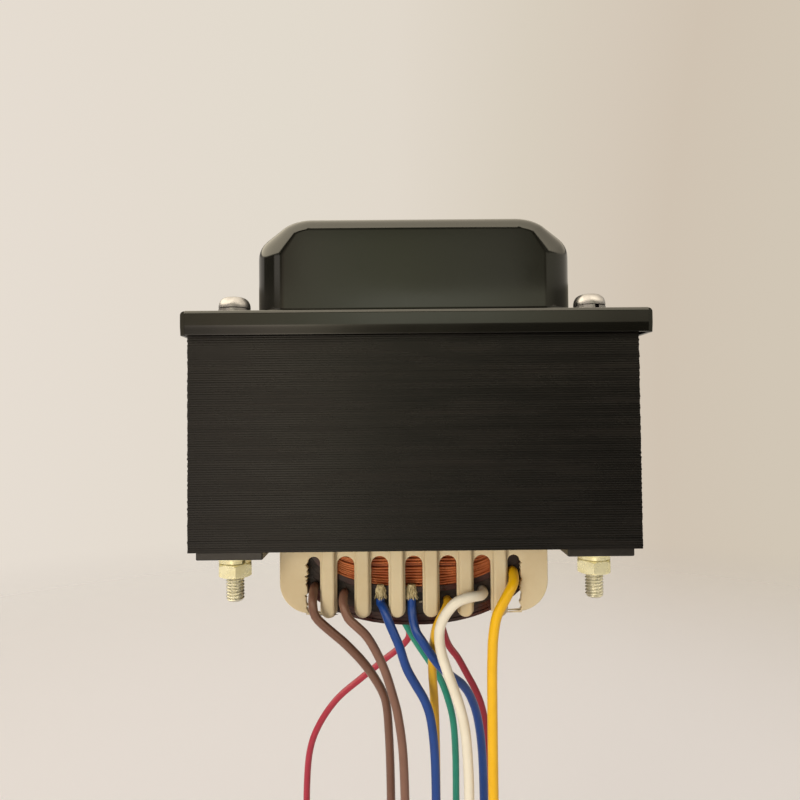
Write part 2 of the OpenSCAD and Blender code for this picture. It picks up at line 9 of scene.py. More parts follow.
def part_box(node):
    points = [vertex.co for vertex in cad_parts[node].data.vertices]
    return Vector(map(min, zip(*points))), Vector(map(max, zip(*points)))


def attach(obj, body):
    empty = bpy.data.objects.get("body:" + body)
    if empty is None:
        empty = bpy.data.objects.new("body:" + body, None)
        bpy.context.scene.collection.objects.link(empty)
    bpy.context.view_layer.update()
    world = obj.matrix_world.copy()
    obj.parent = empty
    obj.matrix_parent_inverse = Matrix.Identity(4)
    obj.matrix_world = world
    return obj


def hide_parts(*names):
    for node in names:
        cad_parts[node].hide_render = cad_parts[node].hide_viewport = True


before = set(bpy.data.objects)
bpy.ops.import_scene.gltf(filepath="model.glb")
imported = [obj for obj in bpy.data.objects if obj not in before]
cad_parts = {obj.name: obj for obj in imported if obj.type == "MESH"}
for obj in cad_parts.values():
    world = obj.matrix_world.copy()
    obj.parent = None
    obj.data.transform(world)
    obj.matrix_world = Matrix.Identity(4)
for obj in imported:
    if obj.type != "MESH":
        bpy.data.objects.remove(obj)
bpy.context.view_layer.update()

mm = 0.001
random.seed(7)


def nodeBox(node):  # a CAD node's corners in millimetres
    low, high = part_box(node)
    return Vector(low) / mm, Vector(high) / mm


class Shape:  # points and faces of one piece, in millimetres
    def __init__(self):
        self.verts, self.faces = [], []

    def loft(self, rings, capped=False, around=False):
        # joins each ring to the next, and with around the last one to the first
        made = []
        for points in rings:
            first = len(self.verts)
            self.verts += [tuple(p) for p in points]
            made.append(range(first, len(self.verts)))
        for a, b in zip(made, made[1:] + (made[:1] if around else [])):
            count = len(a)
            self.faces += [(a[i], a[(i + 1) % count], b[(i + 1) % count], b[i]) for i in range(count)]
        if capped:
            self.faces += [tuple(reversed(made[0])), tuple(made[-1])]

    def add(self, other, move=(0, 0, 0), turn=0):
        first = len(self.verts)
        spin = Matrix.Rotation(math.radians(turn), 3, "Z")
        self.verts += [tuple(spin @ Vector(v) + Vector(move)) for v in other.verts]
        self.faces += [tuple(i + first for i in f) for f in other.faces]

    def mesh(self, name):
        mesh = bpy.data.meshes.new(name)
        mesh.from_pydata([Vector(v) * mm for v in self.verts], [], self.faces)
        mesh.validate()
        shape = bmesh.new()
        shape.from_mesh(mesh)
        bmesh.ops.recalc_face_normals(shape, faces=shape.faces)
        shape.to_mesh(mesh)
        shape.free()
        return mesh


def addObject(name, data):
    thing = bpy.data.objects.new(name, data)
    bpy.context.scene.collection.objects.link(thing)
    return thing


def setAll(thing, **values):
    for key, value in values.items():
        setattr(thing, key, value)
    return thing


def nodeOf(name):  # leadBrownA stands for the CAD's lead_brown_a
    return "".join("_" + c.lower() if c.isupper() else c for c in name)


def addPiece(name, mesh, material, slot, sharpAngle=35, node=None):
    if isinstance(mesh, Shape):
        mesh = mesh.mesh(name)
    piece = addObject(name, mesh)
    mesh.materials.clear()
    mesh.materials.append(material)
    mesh.shade_smooth()
    mesh.set_sharp_from_angle(angle=math.radians(sharpAngle))
    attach(piece, "root")
    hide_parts(node or nodeOf(name))
    return piece


def weighNormals(piece):
    setAll(piece.modifiers.new("normals", "WEIGHTED_NORMAL"), keep_sharp=True, weight=60)


def addBevel(piece, width):
    setAll(piece.modifiers.new("bevel", "BEVEL"), width=width * mm, segments=3, limit_method="ANGLE",
           angle_limit=math.radians(40), harden_normals=True)


def splinePoint(a, b, c, d, t):
    return 0.5 * (2 * b + (c - a) * t + (2 * a - 5 * b + 4 * c - d) * t ** 2
                  + (3 * b - a - 3 * c + d) * t ** 3)


def curvePoints(route, step):
    pts = [Vector(p) for p in route]
    last = len(pts) - 1
    out = []
    for i in range(last):
        a, b, c, d = pts[max(i - 1, 0)], pts[i], pts[i + 1], pts[min(i + 2, last)]
        count = max(1, round((c - b).length / step))
        out += [splinePoint(a, b, c, d, j / count) for j in range(count)]
    return out + [pts[-1]]


def tubeRings(path, radius, sides, closed=False):
    # carries one frame along the path, so that the tube doesn't twist
    count = len(path)
    rings, side = [], None
    for i, p in enumerate(path):
        if closed:
            along = (path[(i + 1) % count] - path[i - 1]).normalized()
        else:
            along = (path[min(i + 1, count - 1)] - path[max(i - 1, 0)]).normalized()
        if side is None:
            side = Vector((0, 1, 0)) if closed else along.orthogonal().normalized()
        side = (side - along * side.dot(along)).normalized()
        up = along.cross(side)
        r = radius(i / (count - 1)) if callable(radius) else radius
        rings.append([p + r * (math.cos(a) * side + math.sin(a) * up)
                      for a in (2 * math.pi * k / sides for k in range(sides))])
    return rings


def takeMesh(thing):
    # the mesh that a curve or an object's modifiers make; the object itself goes
    mesh = bpy.data.meshes.new_from_object(thing.evaluated_get(bpy.context.evaluated_depsgraph_get()))
    bpy.data.objects.remove(thing)
    return mesh


def rectangle(x, y):
    return [(x, y), (-x, y), (-x, -y), (x, -y)]


def circle(sides, z, radius):
    # a ring about Z; its radius is a number, or a function of the share of a turn
    points = []
    for k in range(sides):
        a, r = 2 * math.pi * k / sides, radius(k / sides) if callable(radius) else radius
        points.append((r * math.cos(a), r * math.sin(a), z))
    return points


def lathe(profile, steps, around=False):
    # turns a profile of (radius, z) about Z
    shape = Shape()
    shape.loft([circle(steps, z, r) for r, z in profile], not around, around)
    return shape


def arc(cx, cy, r, start, end, steps):
    return [(cx + r * math.cos(math.radians(start + (end - start) * i / steps)),
             cy + r * math.sin(math.radians(start + (end - start) * i / steps)))
            for i in range(steps + 1)]


# The camera stands close, level with the lower part of the core
view = dict(place=(-3.7, -171.3, 34.9), lens=27.9, pitch=1.55, roll=0.54, turn=-0.29)


def addLine(data, points, closed=False):
    line = data.splines.new("POLY")
    line.points.add(len(points) - 1)
    line.use_cyclic_u = closed
    for point, place in zip(line.points, points):
        point.co = (*place, 1)


def makeCamera():
    data = setAll(bpy.data.cameras.new("camera"), lens=view["lens"], sensor_width=36, clip_start=0.005)
    camera = addObject("camera", data)
    camera.location = Vector(view["place"]) * mm
    camera.rotation_euler = [math.radians(a) for a in (90 + view["pitch"], view["roll"], view["turn"])]
    bpy.context.scene.camera = camera


def mathNode(tree, operation, *values):
    inputs = {f"in{i}": value for i, value in enumerate(values)}
    return addNode(tree, "Math", dict(operation=operation), **inputs).outputs[0]


def mapRange(tree, value, smooth=False, **ends):
    settings = dict(interpolation_type="SMOOTHSTEP") if smooth else None
    return addNode(tree, "MapRange", settings, Value=value, **ends).outputs["Result"]


def mixColor(tree, factor, a, b, blend="MIX"):
    settings = dict(data_type="RGBA", blend_type=blend)
    return addNode(tree, "Mix", settings, Factor=factor, A=a, B=b).outputs["Result"]


def groupTree(name, inputs, outputs):
    # a node group; an input's kind follows from its standard value
    tree = bpy.data.node_groups.new(name, "ShaderNodeTree")
    for label, value in inputs.items():
        kind = {3: "Vector", 4: "Color"}[len(value)] if isinstance(value, tuple) else "Float"
        socket = tree.interface.new_socket(label, in_out="INPUT", socket_type="NodeSocket" + kind)
        socket.default_value = value
    for label in outputs:
        kind = "Color" if label == "Color" else "Float"
        tree.interface.new_socket(label, in_out="OUTPUT", socket_type="NodeSocket" + kind)
    enter, leave = tree.nodes.new("NodeGroupInput"), tree.nodes.new("NodeGroupOutput")
    return tree, enter.outputs, leave.inputs


def feed(tree, node, values):
    # each input, by its name or as in0, in1 and so on, takes a constant or another node's output
    for key, value in values.items():
        socket = node.inputs[int(key[2:]) if key[2:].isdigit() else key.replace("_", " ")]
        if isinstance(value, bpy.types.NodeSocket):
            tree.links.new(value, socket)
        else:
            socket.default_value = value


def addNode(tree, kind, settings=None, **values):
    node = setAll(tree.nodes.new("ShaderNode" + kind), **(settings or {}))
    feed(tree, node, values)
    return node


def ownPlace(tree):
    return addNode(tree, "TexCoord").outputs["Object"]


def stretchedPlace(tree, stretch):
    node = addNode(tree, "VectorMath", dict(operation="MULTIPLY"), in0=ownPlace(tree), in1=stretch)
    return node.outputs[0]


def makeMottleGroup():
    # clouds that mix two colours, and their mask
    inputs = {"Color": (0.5, 0.5, 0.5, 1), "Patch Color": (0.3, 0.3, 0.3, 1), "Scale": 60, "Amount": 0.5,
              "Stretch": (1, 1, 1)}
    tree, enter, leave = groupTree("mottle", inputs, ["Color", "Mask"])
    noise = addNode(tree, "TexNoise", Vector=stretchedPlace(tree, enter["Stretch"]), Scale=enter["Scale"],
                    Detail=5, Roughness=0.6)
    mask = mapRange(tree, noise.outputs["Fac"], True, From_Min=0.35, From_Max=0.7)
    amount = mathNode(tree, "MULTIPLY", mask, enter["Amount"])
    tree.links.new(mixColor(tree, amount, enter["Color"], enter["Patch Color"]), leave["Color"])
    tree.links.new(mask, leave["Mask"])
    return tree


def makeDustGroup():
    # dust lies on what faces up, in uneven specks
    inputs = {"Color": (0.1, 0.1, 0.1, 1), "Dust Color": (0.45, 0.42, 0.37, 1), "Amount": 0.2, "Scale": 900}
    tree, enter, leave = groupTree("dust", inputs, ["Color", "Mask"])
    noise = addNode(tree, "TexNoise", Vector=ownPlace(tree), Scale=enter["Scale"], Detail=3, Roughness=0.7)
    specks = mapRange(tree, noise.outputs["Fac"], From_Min=0.52, From_Max=0.8)
    normal = addNode(tree, "NewGeometry").outputs["Normal"]
    up = mapRange(tree, addNode(tree, "SeparateXYZ", in0=normal).outputs["Z"], From_Min=0.1, From_Max=0.95,
                  To_Min=0.15)
    amount = mathNode(tree, "MULTIPLY", mathNode(tree, "MULTIPLY", specks, up), enter["Amount"])
    tree.links.new(mixColor(tree, amount, enter["Color"], enter["Dust Color"]), leave["Color"])
    tree.links.new(amount, leave["Mask"])
    return tree


def makeGrainGroup():
    # a height of fine grain over broad waves
    inputs = {"Fine Scale": 1500, "Broad Scale": 60, "Fine": 0.5, "Broad": 0.5, "Stretch": (1, 1, 1)}
    tree, enter, leave = groupTree("grain", inputs, ["Height"])
    place = stretchedPlace(tree, enter["Stretch"])
    parts = []
    for scale, share in (("Fine Scale", "Fine"), ("Broad Scale", "Broad")):
        noise = addNode(tree, "TexNoise", Vector=place, Scale=enter[scale], Detail=3)
        parts.append(mathNode(tree, "MULTIPLY", noise.outputs["Fac"], enter[share]))
    tree.links.new(mathNode(tree, "ADD", *parts), leave["Height"])
    return tree


mottleGroup, dustGroup, grainGroup = makeMottleGroup(), makeDustGroup(), makeGrainGroup()
print("node groups ready")


def placeGroup(tree, group, **values):
    return addNode(tree, "Group", dict(node_tree=group), **values)


def rgb(value):
    # a colour written as it looks on screen, such as 0x2a2420
    parts = [(value >> shift & 255) / 255 for shift in (16, 8, 0)]
    return tuple(p / 12.92 if p <= 0.04045 else ((p + 0.055) / 1.055) ** 2.4 for p in parts) + (1,)


def finish(name, color, patch, roughness=(0.3, 0.45), metallic=0.0, scale=60, amount=0.5, stretch=(1, 1, 1),
           grain=(1500, 60, 0.5, 0.5), bump=0.05, bumpSize=0.1, dust=0.0, coat=0.0, specular=0.5,
           subsurface=0.0):
    # one finish: mottled colour, dust, uneven gloss and grain
    material = bpy.data.materials.new(name)
    material.use_nodes = True
    tree = material.node_tree
    mottle = placeGroup(tree, mottleGroup, Color=rgb(color), Patch_Color=rgb(patch), Scale=scale,
                        Amount=amount, Stretch=stretch)
    top = mottle.outputs["Color"]
    if dust:
        top = placeGroup(tree, dustGroup, Amount=dust, Color=top).outputs["Color"]
    gloss = mapRange(tree, mottle.outputs["Mask"], To_Min=roughness[0], To_Max=roughness[1])
    height = placeGroup(tree, grainGroup, Fine_Scale=grain[0], Broad_Scale=grain[1], Fine=grain[2],
                        Broad=grain[3], Stretch=stretch).outputs["Height"]
    relief = addNode(tree, "Bump", Strength=bump, Distance=bumpSize * mm, Height=height)
    shader = tree.nodes["Principled BSDF"]
    feed(tree, shader, dict(Base_Color=top, Roughness=gloss, Normal=relief.outputs["Normal"],
                            Metallic=metallic, Coat_Weight=coat, Coat_Roughness=0.1,
                            Specular_IOR_Level=specular))
    if subsurface:
        feed(tree, shader, dict(Subsurface_Weight=subsurface, Subsurface_Radius=(0.002, 0.0015, 0.001),
                                Subsurface_Scale=1))
    return material


def makeCoreVarnish(low, pitch):
    # every sheet's edge has its own tone under one coat of dark varnish
    material = finish("coreVarnish", 0x0b0907, 0x110d0a, roughness=(0.22, 0.32), scale=45, stretch=(1, 1, 6),
                      grain=(900, 40, 0.6, 0.4), bump=0.04, bumpSize=0.05, dust=0.004, specular=0.3)
    tree = material.node_tree
    z = addNode(tree, "SeparateXYZ", in0=ownPlace(tree)).outputs["Z"]
    sheet = mathNode(tree, "FLOOR", mathNode(tree, "MULTIPLY_ADD", z, 1 / (pitch * mm), -low / pitch))
    tone = addNode(tree, "TexWhiteNoise", dict(noise_dimensions="1D"), W=sheet).outputs["Value"]
    level = mapRange(tree, tone, To_Min=0.7, To_Max=1.35)
    gray = addNode(tree, "CombineColor", Red=level, Green=level, Blue=level).outputs[0]
    shader = tree.nodes["Principled BSDF"]
    plain = shader.inputs["Base Color"].links[0].from_socket
    feed(tree, shader, dict(Base_Color=mixColor(tree, 1, plain, gray, "MULTIPLY")))
    return material


tones = dict(brown=(0x6f4c3b, 0x5a3b2d), brownB=(0x7a5645, 0x664536), blue=(0x103c80, 0x0d306a),
             green=(0x1a8069, 0x146b58), red=(0xa82c3e, 0x8f2232), redB=(0x92202f, 0x7a1826),
             yellow=(0xe6b00a, 0xd89f08), yellowThin=(0xdba822, 0xc6951a), white=(0xe2d8c2, 0xd3c7ad))
paints = dict(
    enamel=finish("blackEnamel", 0x100f0b, 0x171610, roughness=(0.07, 0.13), scale=30, amount=0.6,
                  grain=(700, 45, 0.15, 0.85), bump=0.06, bumpSize=0.15, dust=0.015),
    rail=finish("railEnamel", 0x191613, 0x26211b, roughness=(0.25, 0.4), amount=0.6, bump=0.1, dust=0.2),
    nylon=finish("nylon", 0xc8b692, 0xbba47d, roughness=(0.38, 0.55), scale=90, amount=0.55,
                 grain=(1200, 90, 0.5, 0.5), bump=0.08, bumpSize=0.2, subsurface=0.12),
    copper=finish("enamelledCopper", 0xc97340, 0xa04a24, roughness=(0.25, 0.4), metallic=0.6, scale=260,
                  amount=0.7, coat=0.4),
    # painted shade: the inner winding's body is its copper in a darker tone, standing for the shade in the
    # gaps between and behind the turns; the outer winding wears the same dark tone as its dark-brown enamel
    copperDark=finish("windingBody", 0x86432a, 0x5e2c18, roughness=(0.4, 0.6), metallic=0.5, scale=200),
    tape=finish("marginTape", 0x2c1c15, 0x15100d, roughness=(0.35, 0.6), scale=220, amount=0.8,
                stretch=(0.4, 1, 2), bump=0.5, bumpSize=0.3),
    wrap=finish("outerWrap", 0x3a1711, 0x240f0c, roughness=(0.25, 0.45), scale=120, amount=0.6,
                stretch=(1, 0.3, 1), bump=0.3, bumpSize=0.2),
    braid=finish("braidedSleeve", 0xc4b48a, 0x8f7a4c, roughness=(0.6, 0.8), scale=700, amount=0.7,
                 grain=(5000, 900, 0.5, 0.5), bump=0.8, bumpSize=0.2),
    silver=finish("brightZinc", 0xa6a4a6, 0x807d80, roughness=(0.26, 0.42), metallic=1, scale=400,
                  amount=0.6),
    yellowZinc=finish("yellowZinc", 0xfcf4c8, 0xe4d8a0, roughness=(0.24, 0.4), metallic=0.55, scale=350,
                      amount=0.7, bump=0.06),
    thread=finish("threadZinc", 0xdcd8c4, 0xbcb69c, roughness=(0.22, 0.38), metallic=0.75, scale=500,
                  amount=0.6),
    tin=finish("tinnedStrand", 0xd2d2ce, 0xb4b4ae, roughness=(0.25, 0.4), metallic=1, scale=900),
    tail=finish("enamelledTail", 0x9c9284, 0x7c6a58, roughness=(0.25, 0.4), metallic=0.8, scale=600))
for label, (first, second) in tones.items():
    paints[label] = finish("wire_" + label, first, second, roughness=(0.3, 0.42), scale=160, amount=0.4,
                           grain=(1800, 120, 0.5, 0.5), bump=0.06, bumpSize=0.15, dust=0.05)
print("finishes ready")

makeCamera()

# Each lead's route in millimetres from the coil, and the heights it passes straight below its last point
leads = dict(
    leadBrownA=dict(tone="brown", thick=2.1, below=(-137,), route=[
        (-23.7, -20.9, -5.6), (-23.7, -23, -5.6), (-23.7, -25.2, -6.6), (-23.5, -26.8, -8.8),
        (-22.9, -27.2, -10.8), (-21.3, -27.2, -12.6), (-18.4, -27, -15.2), (-16.1, -26.5, -17.4),
        (-12.5, -25, -21.8), (-10, -23.5, -25.8), (-7.8, -21.8, -30.4), (-6.8, -20.6, -34.5),
        (-6.3, -19.4, -42), (-6, -18.6, -54), (-6, -18.3, -72), (-6, -18.2, -100)]),
    leadBrownB=dict(tone="brownB", thick=2.1, below=(-100, -142), route=[
        (-16.7, -20.9, -7.2), (-16.7, -23, -7.2), (-16.6, -25.4, -8.6), (-15.4, -27, -11.3),
        (-13.1, -27.2, -13.5), (-11.1, -27, -15.6), (-9, -26, -19.5), (-6.9, -24.7, -24.8),
        (-5.1, -23.6, -31.2), (-4, -23.3, -36), (-3, -23.4, -44), (-2.6, -23.6, -56), (-2.5, -23.8, -72)]),
    leadBlueA=dict(tone="blue", thick=2.1, below=(-72, -100, -149), route=[
        (-8, -22.5, -8.2), (-8, -22.5, -9.4), (-7.6, -23.4, -9.6), (-6.8, -24.8, -11), (-5.9, -25.9, -13),
        (-4.8, -26.6, -15.3), (-3.6, -26.9, -18.1), (-2, -26.3, -23.2), (0, -25.6, -27.2),
        (2.2, -24.8, -31.4), (3.6, -24.6, -36), (4.4, -24.8, -44), (4.6, -24.9, -56)]),
    leadBlueB=dict(tone="blue", thick=2.1, below=(-76, -100, -146), route=[
        (-0.6, -22.5, -8.2), (-0.6, -22.5, -9.6), (-0.5, -23.4, -11.8), (-0.1, -24.8, -13.8),
        (0.5, -26, -15.4), (1.7, -26.6, -17), (3.4, -26.2, -19.8), (5.8, -24.8, -23.4),
        (8.7, -22.4, -26.8), (11.7, -20, -30), (14, -18, -34.4), (15.6, -16.6, -40), (16.6, -15.6, -48),
        (17, -15, -60)]),
    leadGreen=dict(tone="green", thick=2.1, below=(-84, -106, -143), route=[
        (-8, 20.9, -8), (-8, 23, -8), (-7.6, 25.4, -10), (-6.6, 27, -14), (-5.4, 27.2, -20),
        (-3.3, 27, -27), (-1.4, 26.4, -30.9), (0.4, 25.7, -33.8), (2.3, 24.9, -36.6), (4.4, 23.9, -39.4),
        (6.8, 22.6, -42.6), (9.1, 21.4, -46.1), (11.1, 20.4, -51.4), (12.6, 20.2, -58), (13.2, 20, -68)]),
    leadRedA=dict(tone="red", thick=2.1, below=(-100, -134), route=[
        (0, 20.9, -8), (0, 23, -8), (0.4, 26, -10), (1, 29, -15), (0.2, 30.4, -22), (-1.5, 30.8, -29.5),
        (-0.6, 31, -33.4), (-0.5, 31.2, -36.3), (-2.4, 31.4, -38.8), (-5.3, 31.6, -41.2),
        (-8.3, 31.8, -43.5), (-12.5, 32, -46.9), (-16.4, 32, -49.9), (-23.9, 31.8, -56.1),
        (-29.6, 31.6, -64), (-32.6, 31, -72), (-33.6, 30.6, -84)]),
    leadYellowA=dict(tone="yellowThin", thick=2.1, below=(-56, -72, -100, -147), route=[
        (8, -20.9, -9.2), (8, -23, -9.2), (7.3, -25, -10.2), (5.9, -26.3, -12.2), (4.9, -26, -14.6),
        (4.4, -23.6, -19.1), (4.2, -21.6, -23.4), (4.3, -20.6, -27.5), (4.7, -20.2, -34),
        (4.9, -20, -44)]),
    leadWhite=dict(tone="white", thick=2.4, below=(-60, -76, -100, -138), route=[
        (16.4, -20.9, -7), (16.4, -23.2, -7), (15.3, -25.8, -6.9), (12.6, -27.8, -6.7),
        (9.6, -28.4, -7.6), (7.6, -28.4, -9.6), (6.1, -28.6, -12), (5.5, -28.7, -14.9),
        (5.9, -28.8, -18.7), (7.3, -28.6, -23.3), (8.9, -28.2, -27.9), (10.2, -27.8, -32),
        (11.4, -27.4, -38), (12, -27.2, -48)]),
    leadRedB=dict(tone="redB", thick=2.1, below=(-84, -106, -143), route=[
        (8, 20.9, -8), (8, 23, -8), (8, 25.4, -10), (8, 26.4, -14), (8.1, 25, -20), (9, 21.4, -27),
        (11, 18.6, -33.7), (14.1, 18, -38.1), (17, 18, -43.4), (19.4, 18, -48), (21.2, 18, -53),
        (22.4, 18, -60), (22.8, 18, -70)]),
    leadYellowB=dict(tone="yellow", thick=2.4, below=(-56, -76, -100, -141), route=[
        (23.6, -20.9, -2.4), (23.6, -23, -2.4), (23.1, -25.8, -4), (21.3, -27.4, -6.6), (19.5, -28, -9.5),
        (18.5, -28.3, -11.8), (17.8, -28.5, -16), (17.6, -28.5, -19.8), (17.5, -28.4, -23.4),
        (17.5, -28, -31), (17.5, -27.8, -44)]))
strand = dict(length=6, wires=7, wire=0.1815, lay=0.352, twist=5, steps=16)


def makeLeads():
    tips = Shape()
    for name, lead in leads.items():
        x, y = lead["route"][-1][:2]
        path = curvePoints(lead["route"] + [(x, y, z) for z in lead["below"]], 1.0)
        data = setAll(bpy.data.curves.new(name, "CURVE"), dimensions="3D", bevel_resolution=4,
                      bevel_depth=lead["thick"] / 2 * mm, use_fill_caps=True)
        addLine(data, [p * mm for p in path])
        data.materials.append(paints[lead["tone"]])
        piece = addObject(name, data)
        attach(piece, "root")
        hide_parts(nodeOf(name))
        length = sum((b - a).length for a, b in zip(path, path[1:]))
        end, steps = path[-1], strand["steps"]
        for k in range(strand["wires"]):
            spread = strand["lay"] if k else 0
            twist = []
            for t in (i / steps for i in range(steps + 1)):
                a, down = k * math.pi / 3 + t * strand["twist"], strand["length"] * t
                twist.append(end + Vector((spread * math.cos(a), spread * math.sin(a), -down)))
            tips.loft(tubeRings(twist, strand["wire"], 8), True)
    tipPiece = addPiece("tinnedTips", tips, paints["tin"], "tinned_copper")


makeLeads()
print("leads hung")

bell = dict(sheet=1.0, bend=0.3, skirt=5.2, strip=0.6, domeSide=37.8, domeFront=27.0, cornerRadius=7.4,
            edge=3.2, sideEdge=5.7, slopeBend=10, slopeAngle=30, slopeWide=4.2, fillet=3.0, lip=0.15,
            pad=1.6, lean=0.1, leanFrom=3.1, outerBend=0.8, rimBelow=0.5, tuck=0.12, steps=12)


def roundedLoop(halfX, halfY, radius, z):
    points = []
    for cx, cy, start in ((1, 1, 0), (-1, 1, 90), (-1, -1, 180), (1, -1, 270)):
        points += [(x, y, z) for x, y in arc(cx * (halfX - radius), cy * (halfY - radius), radius,
                                             start, start + 90, bell["steps"])]
    return points


def cornerPads(x, halfY, radius, edge, top):
    # rounded upper edges of four round pads, one in each corner
    points = []
    for side, end in ((-1, -1), (-1, 1), (1, -1), (1, 1)):
        for u, z in arc(radius - edge, top - edge, edge, 0, 90, 10):
            points += [(side * x + u * math.cos(t), end * (halfY - radius) + u * math.sin(t), z)
                       for t in (math.pi / 2 * k / bell["steps"] for k in range(4 * bell["steps"]))]
    return points


def makeDome(top):
    # the hull of rounded pads: each slope leads from the roof's bend to the round edge of the side wall
    angle = math.radians(bell["slopeAngle"])
    side, front, edge, bend = bell["domeSide"], bell["domeFront"], bell["edge"], bell["slopeBend"]
    corner, sideEdge, pad = bell["cornerRadius"], bell["sideEdge"], bell["pad"]
    bendX = side - sideEdge * (1 - math.sin(angle)) - bell["slopeWide"] - bend * math.sin(angle)
    sideTop = top - (bend - sideEdge) * (1 - math.cos(angle)) - bell["slopeWide"] * math.tan(angle)
    rim = sideTop - sideEdge - bell["rimBelow"]
    points = roundedLoop(side, front, corner, rim)
    points += cornerPads(side - corner, front, corner, sideEdge, sideTop)
    for i in range(7):
        turn = angle * i / 6
        points += cornerPads(bendX + (bend - edge) * math.sin(turn) - pad, front, edge + pad, edge,
                             top - (bend - edge) * (1 - math.cos(turn)))
    form = bmesh.new()
    for p in points:
        form.verts.new(Vector(p) * mm)
    hull = bmesh.ops.convex_hull(form, input=form.verts)
    spare = {g for g in hull["geom_interior"] + hull["geom_unused"] if isinstance(g, bmesh.types.BMVert)}
    bmesh.ops.delete(form, geom=list(spare), context="VERTS")
    bmesh.ops.dissolve_limit(form, angle_limit=math.radians(0.3), verts=form.verts, edges=form.edges)
    bmesh.ops.delete(form, geom=[f for f in form.faces if f.normal.z < -0.9], context="FACES")
    return form, rim


def makeBell():
    low, high = nodeBox("end_bell")
    middle = (low.x + high.x) / 2
    top = low.z + bell["skirt"]
    bendOut = bell["bend"] + bell["sheet"]
    plateX, plateY = high.x - middle - bendOut, high.y - bendOut
    form, rim = makeDome(high.z)
    side, front, r = bell["domeSide"], bell["domeFront"], bell["cornerRadius"]
    shell = Shape()
    loops = [roundedLoop(plateX - bell["strip"], plateY - bell["strip"], 0.1, top)]
    for i in range(11):
        a = math.pi / 2 * i / 10
        out = bell["fillet"] * (1 - math.sin(a))
        loops.append(roundedLoop(side + out, front + out, r + out, top + bell["fillet"] * (1 - math.cos(a))))
    loops.append(roundedLoop(side, front, r, rim))
    shell.loft(loops)

    # the four flaps of the skirt, each with its bend and its lower lip
    lip, lean, skirt, outerBend = bell["lip"], bell["lean"], bell["skirt"], bell["outerBend"]
    outer = [(-bell["strip"], 0), (0, 0)]
    outer += [(bendOut - outerBend + u, z - outerBend) for z, u in arc(0, 0, outerBend, 0, 90, 10)]
    outer += [(bendOut, -bell["leanFrom"]), (bendOut - lean * 0.15, -bell["leanFrom"] - 0.4),
              (bendOut - lean, lip - skirt), (bendOut - lean - lip * 0.3, lip * 0.3 - skirt),
              (bendOut - lip, -skirt), (bell["bend"] + lip, -skirt), (bell["bend"], lip - skirt)]
    outer += [(u, z - bendOut) for u, z in arc(0, 0, bell["bend"], 0, 90, 6)]
    outer += [(-bell["strip"], -bell["sheet"])]
    for turn, reach, half in ((0, plateX, plateY), (90, plateY, plateX), (180, plateX, plateY),
                              (270, plateY, plateX)):
        flap = Shape()
        spots = [-half, -half + 0.15] + [half * (i / 6 - 1) for i in range(1, 12)] + [half - 0.15, half]
        rings = []
        for along in spots:
            tuck = bell["tuck"] if abs(along) == half else 0
            rings.append([(reach + u - tuck * (u > bell["bend"] + lip * 1.5), along,
                           top + max(z, tuck - skirt)) for u, z in outer])
        flap.loft(rings, True)
        shell.add(flap, turn=turn)
    mesh = shell.mesh("endBell")
    form.from_mesh(mesh)
    bmesh.ops.remove_doubles(form, verts=form.verts, dist=0.004 * mm)
    bmesh.ops.recalc_face_normals(form, faces=form.faces)
    bmesh.ops.translate(form, vec=(middle * mm, 0, 0), verts=form.verts)
    form.to_mesh(mesh)
    form.free()
    weighNormals(addPiece("endBell", mesh, paints["enamel"], "black_enamel", 50))


makeBell()
print("end bell drawn")

core = dict(sheets=100, tongue=32, window=16, windowLong=48, shift=0.03, shiftMost=0.1, gap=0.004,
            edge=0.025)


def insetLoop(points, amount):
    count = len(points)
    out = []
    for i in range(count):
        a, b, c = (Vector(points[j % count]) for j in (i - 1, i, i + 1))
        n1, n2 = (b - a).normalized(), (c - b).normalized()
        out.append(tuple(b + amount * Vector((-n1.y - n2.y, n1.x + n2.x))))
    return out


def makeCore():
    low, high = nodeBox("e_laminations")
    pitch = (high.z - low.z + 0.02) / core["sheets"]
    halfX, halfY, end = high.x, high.y, core["windowLong"] / 2
    inside, outside = core["tongue"] / 2, core["tongue"] / 2 + core["window"]
    eHalf = [(halfX, end), (outside, end), (outside, -end), (inside, -end), (inside, end)]
    eShape = [(-halfX, -halfY), (halfX, -halfY)] + eHalf + [(-x, y) for x, y in reversed(eHalf)]
    iShape = [(-halfX, end), (halfX, end), (halfX, halfY), (-halfX, halfY)]
    outlines = dict(eLaminations=eShape, iLaminations=iShape)
    sheets = {name: Shape() for name in outlines}
    thick = pitch - core["gap"]
    for i in range(core["sheets"]):
        flip = 1 if i % 2 == 0 else -1
        z = low.z + i * pitch
        for name, outline in outlines.items():
            move = Vector((random.gauss(0, 1), random.gauss(0, 1))) * core["shift"]
            move = Vector([max(-core["shiftMost"], min(core["shiftMost"], a)) for a in move])
            tight = insetLoop(outline, core["edge"])
            rings = []
            for share, loop in ((0, tight), (0.2, outline), (0.8, outline), (1, tight)):
                rings.append([(x + move.x, (y + move.y) * flip, z + share * thick) for x, y in loop])
            sheets[name].loft(rings, True)
    varnish = makeCoreVarnish(low.z, pitch)
    for name, shape in sheets.items():
        addPiece(name, shape, varnish, "silicon_steel", 25)
    return low, high


coreLow, coreHigh = makeCore()
print("core stacked")

comb = dict(teeth=6, pitch=8.08, tooth=3.95, endSlot=2.95, reach=19.1, slotStart=4.6, cornerStart=10.7,
            cornerRadius=7.2, upperReach=18, upperCorner=9, plate=1.6, edge=0.22, wall=1.5, room=0.2,
            rib=3.1, ribHigh=1.4, ribTip=0.35, ribTop=0.45, ribRoot=0.6, ribEdge=0.55, torn=(0.28, 0.08),
            tornSteps=26)


